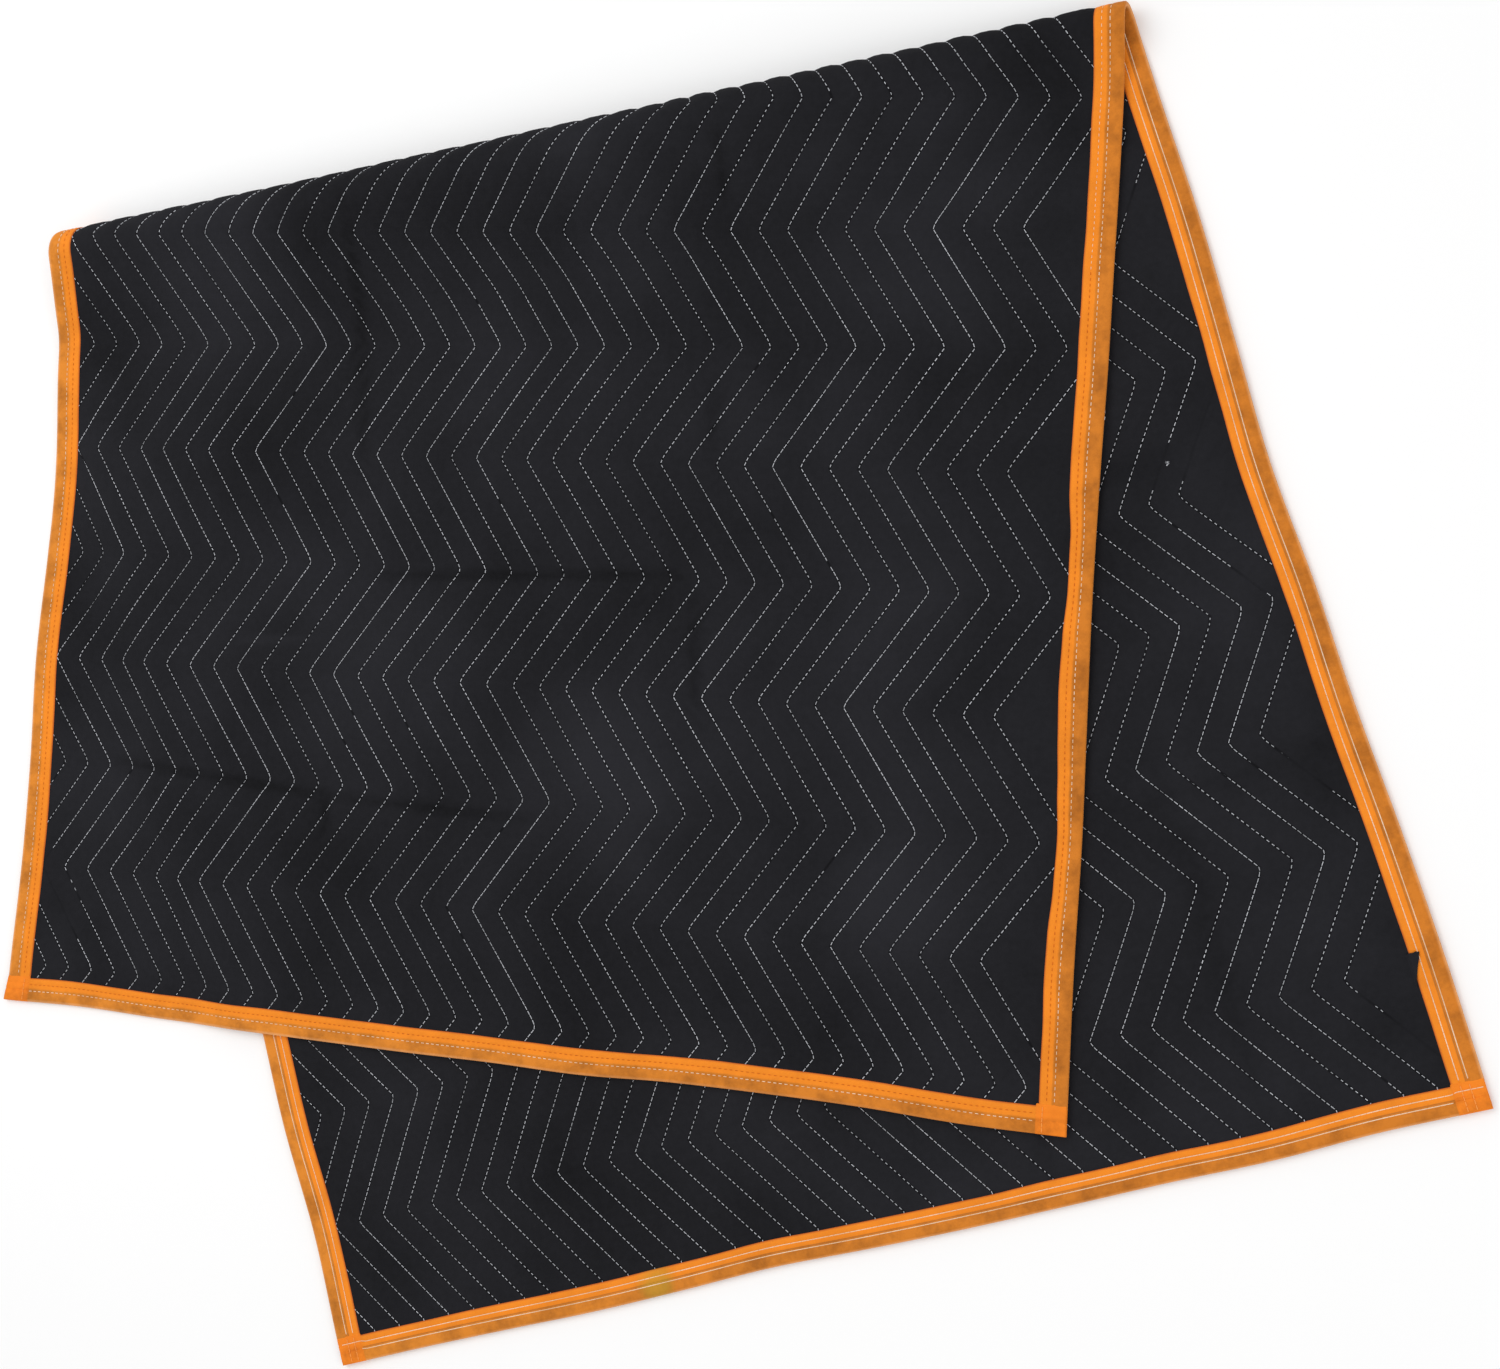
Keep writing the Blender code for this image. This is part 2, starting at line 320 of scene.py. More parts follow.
def section(past, radius):
    """Distance out, height and normal angle of the cloth's middle, this far past the fold's start.

    A tighter loop takes less cloth, so it starts further out, and the upper layer stays in place.
    """
    arc, arc_out, arc_height, landing, landed, landed_out = fold_lengths(radius)
    further = (SPARE_CLOTH - landed - landed_out) / 2
    past -= further
    if past <= 0:
        return past + further, RIDGE_HALF, 0.0
    if past < arc:
        angle = past / radius
        return radius * math.sin(angle) + further, RIDGE_HALF + radius * (1 - math.cos(angle)), angle
    if past < landing:
        run = past - arc
        out = arc_out - run * math.cos(FALL_ANGLE)
        return out + further, arc_height - run * math.sin(FALL_ANGLE), TURN
    if past < landed:
        left = (landed - past) / LANDING_RADIUS
        rise = LANDING_RADIUS * (1 - math.cos(left))
        out = landed_out + LANDING_RADIUS * math.sin(left)
        return out + further, UPPER_HEIGHT + rise, math.pi + left
    return landed_out - (past - landed) + further, UPPER_HEIGHT, math.pi


def spots(table, u, v):
    """The sum of a table's round, soft-edged spots at a point."""
    total = 0.0
    for across, along, reach, strength in table:
        distance = math.hypot(u * 1000 - across, v * 1000 - along) / reach
        if distance < 1:
            total += strength * (1 - distance**2) ** 2
    return total


def waves(*place):
    """Smooth noise from -1 to 1 at a place."""
    return noise.noise(Vector(place))


def ripple(u, v):
    """From -1 to 1, in waves of about 0.1 m."""
    return waves(u * 9, v * 9, 3.1)


def past_fold(u, v):
    """How far a point lies past the fold's line on the flat pad."""
    return u * SLANT_SIN + (v - FOLD_START) * SLANT_COS


def crease(u, v):
    """The height of the packing creases at a point."""
    height = 0.0
    u_mm, v_mm = u * 1000, v * 1000
    for across, along, to_across, to_along, half_width, rise in CREASES:
        reach = half_width * 2.5
        if not min(along, to_along) - reach < v_mm < max(along, to_along) + reach:
            continue
        run_u, run_v = to_across - across, to_along - along
        share = ((u_mm - across) * run_u + (v_mm - along) * run_v) / (run_u**2 + run_v**2)
        share = min(1.0, max(0.0, share))
        distance = math.hypot(u_mm - across - run_u * share, v_mm - along - run_v * share)
        if distance < reach:
            fade = 0.4 + 0.6 * math.sin(math.pi * share)
            height += 0.001 * rise * fade * math.exp(-((distance / half_width) ** 2))
    return height


def folded(u, v, w):
    """Where a point of the flat pad lies on the folded one, in the row frame."""
    past = past_fold(u, v)
    flat_along = u * SLANT_COS - (v - FOLD_START) * SLANT_SIN
    along = flat_along + wander(u, v)
    out, height, angle = section(past, loop_radius(flat_along))
    out -= w * math.sin(angle)
    height += w * math.cos(angle)
    gathered = smooth(past / GATHERED_BEFORE + 1) * (1 - smooth(past / GATHERED_FROM - 1))
    out -= (DRAWN_IN + DRAWN_IN_RIGHT * near_end(flat_along)) * gathered
    lengthwise = hem_wander(u, v)
    if past > LANDED:
        flat_out = SPARE_CLOTH - past
        past_left = -HALF_WIDTH - (flat_along * SLANT_COS + flat_out * SLANT_SIN)
        onwards = (past - LANDED) / STEP_FADE
        down = smooth(min((past_left - STEP_START) / STEP_REACH, onwards))
        height += (0.001 * spots(SWELLS, u, v) + crease(u, v) * (1 - down)) * smooth(onwards)
        height += RIPPLE * ripple(u, v) * (1 - down)
        height -= (UPPER_HEIGHT - RIDGE_HALF) * down
        out -= lengthwise
    elif past < 0:
        height += (RIPPLE * (1 + ripple(u, v)) + crease(u, v)) * smooth(-past / STEP_FADE)
        out += lengthwise
    x = along * SLANT_COS + out * SLANT_SIN
    y = FOLD_START + out * SLANT_COS - along * SLANT_SIN
    return Vector((x, y, max(height, LOWEST))) + SHIFT


def edge_distance(u, v):
    """How far a point is from the pad's nearest edge."""
    return min(HALF_WIDTH - abs(u), v, PAD_LENGTH - v)


def narrower(v):
    """How much narrower the right edge tape is on the outer face at v."""
    v_mm = v * 1000
    for (start, by), (end, to) in zip(NARROWER, NARROWER[1:]):
        if start <= v_mm <= end:
            return 0.001 * (by + (to - by) * smooth((v_mm - start) / (end - start)))
    return 0.0


def thread_out(seam, v, side):
    """Whether the thread of a seam has come out at v, on the inner face with a plus side."""
    table = UNSTITCHED_INNER if side > 0 else UNSTITCHED_OUTER
    return any(seam == bare and start < v * 1000 < end for bare, start, end in table)


def half_thickness(u, v):
    """From the middle of the cloth to its face: thin at a seam and at the edge, full between seams."""
    inside = smooth((edge_distance(u, v) - FILLS_FROM) / FILLS_OVER)
    seam = seam_number(u, v)
    puff = 1.0 if seam > LAST_SEAM + 0.5 else abs(math.sin(math.pi * seam)) ** 0.85
    puff *= 0.9 + 0.25 * waves(math.floor(seam) * 3.7, v * 14, 0.5)
    bulge = FOLD_BULGE * smooth(1 - abs(past_fold(u, v) / LANDED - 0.4) / 0.8)
    full = SEAM_HALF + (RIDGE_HALF + bulge - SEAM_HALF) * puff
    return PRESSED_HALF + (full - PRESSED_HALF) * inside


def linear(hexadecimal):
    """The linear colour of an sRGB hex value."""
    channels = [int(hexadecimal[place : place + 2], 16) / 255 for place in (0, 2, 4)]
    return [c / 12.92 if c <= 0.04045 else ((c + 0.055) / 1.055) ** 2.4 for c in channels]


def add(tree, kind, inputs=(), stops=(), out=0, **settings):
    """One output of a new node, with its settings, its values and links, and the stops of its ramp."""
    node = tree.nodes.new("ShaderNode" + kind)
    for name, value in settings.items():
        setattr(node, name, value)
    for name, value in dict(inputs).items():
        if isinstance(value, bpy.types.NodeSocket):
            tree.links.new(value, node.inputs[name])
        else:
            node.inputs[name].default_value = value
    for place, (position, colour) in enumerate(stops):
        elements = node.color_ramp.elements
        element = elements[place] if place < 2 else elements.new(position)
        element.position = position
        element.color = (*colour, 1)
    return node.outputs[out]


def link(output, shader, name):
    """Links an output to an input of the shader."""
    shader.id_data.links.new(output, shader.inputs[name])


def new_material(name, roughness, specular):
    """A material, what adds its nodes, its shader and the place that its patterns are fixed to."""
    material = bpy.data.materials.new(name)
    material.use_nodes = True
    tree = material.node_tree
    shader = tree.nodes["Principled BSDF"]
    shader.inputs["Roughness"].default_value = roughness
    shader.inputs["Specular IOR Level"].default_value = specular
    node = partial(add, tree)
    return material, node, shader, node("TexCoord", out="Object")


def grey(value):
    """A colour without a hue."""
    return (value, value, value)


def woven_cloth(colours):
    """Woven black polyester: matt, with a faint mottle, pale where packing has rubbed it, with painted
    shade in crease troughs, painted highlight on crease ridges and painted shadow beside the seams.
    """
    material, node, shader, place = new_material("woven_black_polyester", 0.9, 0.08)
    flat = node("UVMap", uv_map="flat")
    patches = node("TexNoise", {"Vector": place, "Scale": 5.0, "Detail": 3.0, "Roughness": 0.6})
    mottle = node("TexNoise", {"Vector": flat, "Scale": 160.0, "Detail": 4.0, "Roughness": 0.7})
    wear_and_crease_shading = node("Attribute", out="Fac", attribute_name="wear_and_crease_shading")
    both = node("Math", {0: mottle, 1: 0.35, 2: patches}, operation="MULTIPLY_ADD")
    # The rubbed patches are real wear; the crease part of the attribute is painted shade in troughs and
    # painted highlight on ridges
    rubbed = node("Math", {0: both, 1: wear_and_crease_shading}, operation="ADD")
    shades = ((0.35, colours.cloth_dark), (1.0, colours.cloth_pale))
    tone = node("ValToRGB", {"Fac": rubbed}, shades)
    # Painted shadow: the cloth is drawn in along a seam, and the shadow of its valley is painted as a
    # dark gutter of about 1.5 mm beside the thread, with its needle holes, and as a fainter one where
    # the thread has come out
    stitched = node("Attribute", out="Fac", attribute_name="stitched")
    seam = node("Attribute", out="Fac", attribute_name="seam")
    gap = node("Math", {0: seam, 1: 0.5}, operation="PINGPONG")
    painted_seam_shade = node("ValToRGB", {"Fac": gap}, ((0.022, grey(0.5)), (0.075, grey(1.0))))
    layers = {0: stitched, 6: tone, 7: painted_seam_shade}
    seam_shaded_tone = node("Mix", layers, out=2, data_type="RGBA", blend_type="MULTIPLY")
    link(seam_shaded_tone, shader, "Base Color")
    # Threads of about 0.5 mm are drawn at 1.6 mm, so that the weave shows at all
    threads = {"Vector": flat, "Scale": math.pi / 20 / 0.0016, "Distortion": 1.5, "Detail": 1.0}
    bands = [node("TexWave", threads, out="Fac", bands_direction=way) for way in ("X", "Y")]
    weave = node("Math", {0: bands[0], 1: bands[1]}, operation="MULTIPLY")
    # Rumples of 8 to 20 mm between the seams, too shallow for the mesh
    rumples = node("TexNoise", {"Vector": flat, "Scale": 70.0, "Detail": 3.0, "Roughness": 0.55})
    rumpled = node("Bump", {"Height": rumples, "Strength": 0.5, "Distance": 0.002})
    woven = {"Height": weave, "Strength": 0.35, "Distance": 0.0003, "Normal": rumpled}
    link(node("Bump", woven), shader, "Normal")
    return material


# How much grime the tape takes, from its inner edge on one face to that on the other
HANDLED = (
    # share of the way, share of grime
    (0.13, 0.25), (1.0, 0.25), (0.17, 0.8), (0.30, 0.8), (0.33, 0.3),
    (0.67, 0.3), (0.70, 0.8), (0.82, 0.8), (0.86, 0.25),
)

# The middle of the stain on the lower hem: u, v and w
STAIN = (-0.188, 0.011, 0.0025)


def tape_zones(colours, dull, rim):
    """The tape's colour from its inner edge on one face round the rim to that on the other."""
    edge, bright, crease_groove_shade = colours.tape_edge_shade, colours.tape_bright, colours.tape_crease_shade
    # Painted shade darkens both inner edges of the tape, where it meets the black cloth
    outer = ((0.0, edge), (1.0, edge), (0.022, bright), (0.143, bright), (0.157, dull), (0.290, dull))
    # On the inner face, painted shade darkens the groove where the tape is creased between its two
    # halves
    inner = ((0.700, dull), (0.832, dull), (0.843, crease_groove_shade), (0.854, bright), (0.978, bright))
    return (*outer, (0.316, rim), (0.674, colours.tape_rim), *inner)


def binding_tape(colours):
    """Orange polyester tape: a dense nonwoven with a dull outer half where hands have soiled it."""
    material, node, shader, place = new_material("soiled_orange_polyester_tape", 0.8, 0.25)
    flat = node("UVMap", uv_map="flat")
    across = node("SeparateXYZ", {"Vector": flat}, out="Y")
    share = node("Math", {0: across, 1: 3.0}, operation="DIVIDE")
    side = node("SeparateXYZ", {"Vector": place}, out="X")
    to_right = node("MapRange", {"Value": side, "From Min": -0.35, "From Max": 0.35})
    left, right = [
        node("ValToRGB", {"Fac": share}, tape_zones(colours, dull, rim))
        for dull, rim in (
            (colours.tape_dull_left, colours.tape_rim),
            (colours.tape_dull_right, colours.tape_dull_right),
        )
    ]
    zones = node("Mix", {0: to_right, 6: left, 7: right}, out=2, data_type="RGBA")
    turned = node("Attribute", out="Fac", attribute_name="turned")
    ends = {0: turned, 6: zones, 7: (*colours.tape_turned, 1)}
    clean = node("Mix", ends, out=2, data_type="RGBA")
    soil = node("TexNoise", {"Vector": place, "Scale": 45.0, "Detail": 5.0, "Roughness": 0.65})
    grime = node("ValToRGB", {"Fac": soil}, ((0.32, (0.5, 0.48, 0.44)), (0.6, grey(1.0))))
    handled = node("ValToRGB", {"Fac": share}, [(at, grey(value)) for at, value in HANDLED])
    layers = {0: handled, 6: clean, 7: grime}
    tinted = node("Mix", layers, out=2, data_type="RGBA", blend_type="MULTIPLY")
    # One oily stain, about 20 mm across, on the lower hem
    off = node("VectorMath", {0: place, 1: folded(*STAIN)}, out="Value", operation="DISTANCE")
    blurred = node("Math", {0: soil, 1: 0.012, 2: off}, operation="MULTIPLY_ADD")
    reach = {"Value": blurred, "From Min": 0.025, "From Max": 0.014, "To Max": 0.6}
    stain = {0: node("MapRange", reach), 6: tinted, 7: (*colours.tape_stain, 1)}
    link(node("Mix", stain, out=2, data_type="RGBA"), shader, "Base Color")
    # The fibres are far too fine to show, so clumps of about 1 mm stand for them
    fibres = node("TexNoise", {"Vector": place, "Scale": 900.0, "Detail": 3.0, "Roughness": 0.6})
    # The tape is cut across its grain, which leaves faint ribs 2.5 mm apart from edge to edge
    grain = {"Vector": flat, "Scale": math.pi / 20 / 0.0025, "Distortion": 4.0, "Detail": 2.0}
    ribs = node("TexWave", grain, out="Fac", bands_direction="X")
    ribbed = node("Bump", {"Height": ribs, "Strength": 0.3, "Distance": 0.0004})
    matted = {"Height": fibres, "Strength": 0.4, "Distance": 0.0003, "Normal": ribbed}
    link(node("Bump", matted), shader, "Normal")
    return material


def sewing_thread(name, dull, clean):
    """Spun polyester thread: soft and matt, cleaner in some stretches than in others."""
    material, node, shader, place = new_material(name, 0.8, 0.2)
    patches = node("TexNoise", {"Vector": place, "Scale": 22.0, "Detail": 4.0, "Roughness": 0.7})
    tone = node("ValToRGB", {"Fac": patches}, ((0.35, dull), (0.65, clean)))
    link(tone, shader, "Base Color")
    # Two plies twisted together, 0.6 mm a turn, drawn at 1.2 mm
    twist = node("TexNoise", {"Vector": place, "Scale": 830.0, "Detail": 1.0})
    bump = node("Bump", {"Height": twist, "Strength": 0.3, "Distance": 0.0002})
    link(bump, shader, "Normal")
    return material


def board(colours):
    """Matt white painted board: even and without gloss, so that only soft shadows show on it."""
    material, node, shader, place = new_material("white_painted_board", 0.9, 0.5)
    shader.inputs["Base Color"].default_value = (*colours.floor, 1)
    # Roller stipple of 3 to 5 mm
    stipple = node("TexNoise", {"Vector": place, "Scale": 250.0, "Detail": 2.0})
    bump = node("Bump", {"Height": stipple, "Strength": 0.1, "Distance": 0.0002})
    link(bump, shader, "Normal")
    return material


def grid(columns, rows):
    """A flat grid whose points hold their column and row numbers."""
    bm = bmesh.new()
    bmesh.ops.create_grid(bm, x_segments=columns, y_segments=rows, size=0.5)
    for vert in bm.verts:
        vert.co.x = round((vert.co.x + 0.5) * columns)
        vert.co.y = round((vert.co.y + 0.5) * rows)
    return bm


def keep_flat(bm, place):
    """Keeps the flat layout as a UV map; place gives where a vertex lies on it."""
    uv = bm.loops.layers.uv.new("flat")
    for face in bm.faces:
        for loop in face.loops:
            loop[uv].uv = place(loop.vert)


def finished(bm, name, material):
    """The piece as an object, closed, smooth and facing outwards."""
    bmesh.ops.recalc_face_normals(bm, faces=bm.faces[:])
    mesh = bpy.data.meshes.new(name)
    bm.to_mesh(mesh)
    bm.free()
    mesh.shade_smooth()
    mesh.set_sharp_from_angle(angle=math.radians(50))
    piece = bpy.data.objects.new(name, mesh)
    piece.data.materials.append(material)
    bpy.context.scene.collection.objects.link(piece)
    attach(piece, "root")
    return piece


def panel_rows():
    """The rows of the panel's grid along v: close together where the cloth turns over."""
    rows = []
    for row in range(FIRST_ROW, LAST_ROW):
        shares = (0, 0.18, 0.36, 0.54, 0.72, 0.86, 0.94)
        if row in LOOP_ROWS:
            shares = [step / LOOP_STEPS for step in range(LOOP_STEPS)]
        rows += [tip_row(row + share) for share in shares]
    rows.append(tip_row(LAST_ROW))
    for first, last in CREASE_ROWS:
        rows = [row for row in rows if not first - 0.003 < row < last + 0.003]
        steps = round((last - first) / 0.005)
        rows += [first + (last - first) * step / steps for step in range(steps + 1)]
    return sorted(rows)


def quilted_panel(colours):
    """The two cloths and the wadding, sewn through, with every ridge and seam."""
    reach = (HALF_WIDTH + SWING) / SEAM_PITCH
    first, last = math.floor(MIDDLE_SEAM - reach), math.ceil(MIDDLE_SEAM + reach)
    seams = [seam + share for seam in range(first, last) for share in (0, 0.1, 0.33, 0.67, 0.9)]
    seams.append(last)
    rows = panel_rows()
    bm = grid(len(seams) - 1, len(rows) - 1)
    for vert in bm.verts:
        v = rows[round(vert.co.y)]
        vert.co = ((seams[round(vert.co.x)] - MIDDLE_SEAM) * SEAM_PITCH + zigzag(v), v, 0)
    for inset, drop in ((0.0014, True), (BINDING_WIDTH, False), (BINDING_WIDTH + 0.012, False)):
        for point, outwards in (
            ((inset - HALF_WIDTH, 0, 0), (-1, 0, 0)),
            ((HALF_WIDTH - inset, 0, 0), (1, 0, 0)),
            ((0, inset, 0), (0, -1, 0)),
            ((0, PAD_LENGTH - inset, 0), (0, 1, 0)),
        ):
            geometry = bm.verts[:] + bm.edges[:] + bm.faces[:]
            plane = {"plane_co": point, "plane_no": outwards, "dist": 1e-6}
            bmesh.ops.bisect_plane(bm, geom=geometry, clear_outer=drop, **plane)
    bmesh.ops.solidify(bm, geom=bm.faces[:], thickness=RIDGE_HALF)
    middle = sum(vert.co.z for vert in bm.verts) / len(bm.verts)
    keep_flat(bm, lambda vert: vert.co.xy)
    names = ("wear_and_crease_shading", "seam", "stitched")
    wear_and_crease_shading, seam_layer, stitched = [bm.verts.layers.float.new(name) for name in names]
    for vert in bm.verts:
        u, v, w = vert.co
        side = math.copysign(1, w - middle)
        seam = seam_number(u, v)
        rubbed = spots(RUBBED, u, v) if side < 0 else 0.0
        # Painted shade darkens the crease troughs and a painted highlight pales the crease ridges; the
        # rubbed patches are real wear
        vert[wear_and_crease_shading] = 0.2 * max(-1.0, min(1.0, crease(u, v) * 1000)) + rubbed
        vert[seam_layer] = min(max(seam, FIRST_SEAM - 0.5), LAST_SEAM + 0.5) + 10
        vert[stitched] = 0.25 if thread_out(round(seam), v, side) else 1.0
        vert.co = folded(u, v, side * half_thickness(u, v))
    panel = finished(bm, "quilted_panel_cloth", woven_cloth(colours))
    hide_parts("quilted_panel")
    return panel


# The tape's outer surface, from its inner edge on the outer face, round the pad's edge, to its
# inner edge on the inner face. Each line of stitches lies in a groove of its own.
TAPE_PROFILE = (
    # across, as the material counts it; share of the width in from the edge; height in mm
    (0.00, 1.00, 1.6), (0.03, 0.97, 2.2), (0.14, 0.86, 2.4), (0.24, 0.76, 2.4),
    (0.27, 0.73, 2.1), (0.30, 0.70, 2.4), (0.42, 0.58, 2.5), (0.51, 0.49, 2.4),
    (0.545, 0.455, 2.0), (0.58, 0.42, 2.4), (0.72, 0.28, 2.6), (0.88, 0.12, 2.5),
    (0.96, 0.03, 2.1), (1.00, 0.00, 1.2), (1.50, -0.01, 0.0), (2.00, 0.00, -1.2),
    (2.04, 0.03, -2.1), (2.15, 0.15, -2.5), (2.32, 0.32, -2.6), (2.42, 0.42, -2.4),
    (2.45, 0.45, -2.0), (2.48, 0.48, -2.4), (2.53, 0.53, -1.9), (2.57, 0.57, -2.4),
    (2.66, 0.66, -2.5), (2.70, 0.70, -2.4), (2.73, 0.73, -2.0), (2.76, 0.76, -2.3),
    (2.88, 0.88, -2.4), (2.97, 0.97, -2.1), (3.00, 1.00, -1.6),
)

# Lines of stitches along each tape, in the grooves of its profile
ORANGE_LINE = 0.27
END_TO_END_LINE = 2.73
TAPE_LINES = (
    # across, share of the pitch that the thread covers, thickness as a share of the thread
    (ORANGE_LINE, 0.45, 0.58),
    (0.545, 0.55, 0.74),
    (2.45, 0.97, 0.86),
    (END_TO_END_LINE, 0.95, 0.82),
)

# How far up the right edge tape the orange line is sewn in white
WHITE_UP_TO = 1.13

# A hem's closing seams: first stitch and pitch, as shares of the tape's width, and their height
CLOSING_STITCH = (0.08, 0.22)
CLOSING_PITCH = 0.17
TURNED_FACE = 0.0024

# The middle of a thread above the cloth that it lies on
THREAD_LIFT = 0.0003

TapeEdge = namedtuple("TapeEdge", "name node start end inward width turned")


def tape_edges():
    """Each tape on the flat pad; a hem's ends are turned in over the ends of the edge tapes."""
    across, along = Vector((1, 0, 0)), Vector((0, 1, 0))
    low, high = along * SIDE_TAPE_START, along * (PAD_LENGTH - SIDE_TAPE_START)
    left, right = across * -HALF_WIDTH, across * HALF_WIDTH
    top = along * PAD_LENGTH
    plain, hem = (BINDING_WIDTH, False), (HEM_WIDTH, True)
    return (
        TapeEdge("left_edge_tape", "binding_left", left + low, left + high, across, *plain),
        TapeEdge("right_edge_tape", "binding_right", right + low, right + high, -across, *plain),
        TapeEdge("lower_hem_tape", "binding_lower_hem", left, right, along, *hem),
        TapeEdge("upper_hem_tape", "binding_upper_hem", left + top, right + top, -along, *hem),
    )


def tape_rows(edge):
    """How far along its edge each row of a tape is: close together where the cloth turns over."""
    length = (edge.end - edge.start).length
    rows, place = [], 0.0
    while place < length:
        rows.append(place)
        at = edge.start.lerp(edge.end, place / length)
        place += 0.0035 if -0.01 < past_fold(at.x, at.y) < 0.15 else 0.008
    if edge.turned:
        rows = [row for row in rows if TURNED_END + 0.003 < row < length - TURNED_END - 0.003]
        last = (TURNED_END - 0.0004, TURNED_END + 0.0004)
        ends = (0, 0.0005, 0.0012, END_CLOSED, 0.006, 0.012, 0.018, *last)
        return [*ends, *rows, *(length - end for end in reversed(ends))]
    return [row for row in rows if row < length - 0.002] + [length]


def tape_point(edge, along, share, side):
    """A point of the tape on the flat pad, and how much its turned end lifts it there."""
    length = (edge.end - edge.start).length
    from_end = min(along, length - along)
    turned = edge.turned and from_end < TURNED_END
    width = edge.width * (TURNED_WIDER if turned else 1)
    if edge.name == "right_edge_tape" and side > 0:
        width -= narrower(edge.start.y + along)
    own = edge.start.x + edge.start.y
    waver = 1 + 0.03 * share * waves(along * 22, side * 5.3, own)
    flat = edge.start.lerp(edge.end, along / length) + edge.inward * width * share * waver
    if edge.name == "upper_hem_tape" and along < FLARE_REACH:
        flat.x -= FLARE * (1 - along / FLARE_REACH) * (1 - share)
    return flat, TURNED_LIFT if turned else 0.0


def tape(edge, material):
    """A tape folded lengthwise round the pad's edge, open on the inward side."""
    rows = tape_rows(edge)
    bm = grid(len(rows) - 1, len(TAPE_PROFILE) - 1)
    across = bm.verts.layers.float.new("across")
    turned = bm.verts.layers.float.new("turned")
    own = edge.start.x - edge.start.y
    for vert in bm.verts:
        along = rows[round(vert.co.x)]
        share_across, share, height = TAPE_PROFILE[round(vert.co.y)]
        side = 1 if height > 0 else -1
        puff = 1 + 0.06 * waves(along * 60, share_across * 4, own)
        flat, lift = tape_point(edge, along, share, side)
        vert[across] = share_across
        vert[turned] = 1.0 if lift else 0.0
        if height:
            height = height * 0.001 * puff + math.copysign(lift, height)
        from_end = min(along, rows[-1] - along)
        if edge.turned and from_end < END_CLOSED and abs(height) > END_HALF:
            # The turned end is sewn shut, so its two faces come together
            rounded = math.sqrt(1 - (1 - from_end / END_CLOSED) ** 2)
            height = math.copysign(END_HALF + (abs(height) - END_HALF) * rounded, height)
        vert.co = (flat.x, flat.y, -height)
    bm.normal_update()
    lowest = min(bm.faces, key=lambda face: face.calc_center_median().z)
    if lowest.normal.z > 0:
        bmesh.ops.reverse_faces(bm, faces=bm.faces[:])
    bm.normal_update()
    # The profile is the tape's outer surface, so its thickness goes inwards
    bmesh.ops.solidify(bm, geom=bm.faces[:], thickness=BINDING_CLOTH)
    run = (edge.end - edge.start).normalized()
    keep_flat(bm, lambda vert: ((vert.co - edge.start).dot(run), vert[across]))
    for vert in bm.verts:
        vert.co = folded(*vert.co)
    piece = finished(bm, edge.name, material)
    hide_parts(edge.node)
    return piece


def stitch_rows(name, count, rows, place, material):
    """Threads in rows, as arrays of one small bar with three sides.

    place gives the corners of a bar, or None to leave it out.
    """
    bm = bmesh.new()
    bmesh.ops.create_cone(bm, cap_ends=True, cap_tris=True, segments=3, radius1=1, radius2=1, depth=2)
    corners = len(bm.verts)
    shape = [vert.co.copy() for vert in bm.verts]
    mesh = bpy.data.meshes.new(name)
    bm.to_mesh(mesh)
    bm.free()
    piece = bpy.data.objects.new(name, mesh)
    bpy.context.scene.collection.objects.link(piece)
    for size in (count, rows):
        array = piece.modifiers.new("rows", "ARRAY")
        array.count = size
    made = bpy.data.meshes.new_from_object(piece.evaluated_get(bpy.context.evaluated_depsgraph_get()))
    bpy.data.objects.remove(piece)
    bpy.data.meshes.remove(mesh)
    bm = bmesh.new()
    bm.from_mesh(made)
    bpy.data.meshes.remove(made)
    bm.verts.ensure_lookup_table()
    dropped = []
    for stitch in range(count * rows):
        bar = [bm.verts[stitch * corners + corner] for corner in range(corners)]
        places = place(stitch // count, stitch % count, shape)
        if places is None:
            dropped += bar
        for vert, co in zip(bar, places or ()):
            vert.co = co
    bmesh.ops.delete(bm, geom=dropped, context="VERTS")
    return finished(bm, name, material)


def thread_bar(shape, start, end, half, side):
    """One stitch on a face, between two points that give u, v and the height of the cloth there."""
    run = Vector((end[0] - start[0], end[1] - start[1])).normalized()
    places = []
    for corner in shape:
        u, v, height = start if corner.z < 0 else end
        u += run.y * corner.x * half
        v -= run.x * corner.x * half
        places.append(folded(u, v, side * (height + half * (0.35 + 0.7 * corner.y))))
    return places


# Each quilting stitch is counted in this many parts
STITCH_PARTS = 8

# A stitch whose draw is above this has come out
MISSING_ABOVE = 0.997


def seam_stations(pitch):
    """v at every part of a quilting stitch, from the zigzag's own length."""
    marks, length, target = [], 0.0, 0.0
    step, v = 0.0005, SIDE_TAPE_START
    previous = zigzag(v)
    while v < PAD_LENGTH - SIDE_TAPE_START + 2 * pitch:
        while length >= target:
            marks.append(v)
            target += pitch / STITCH_PARTS
        v += step
        swung = zigzag(v)
        length += math.hypot(step, swung - previous)
        previous = swung
    return marks


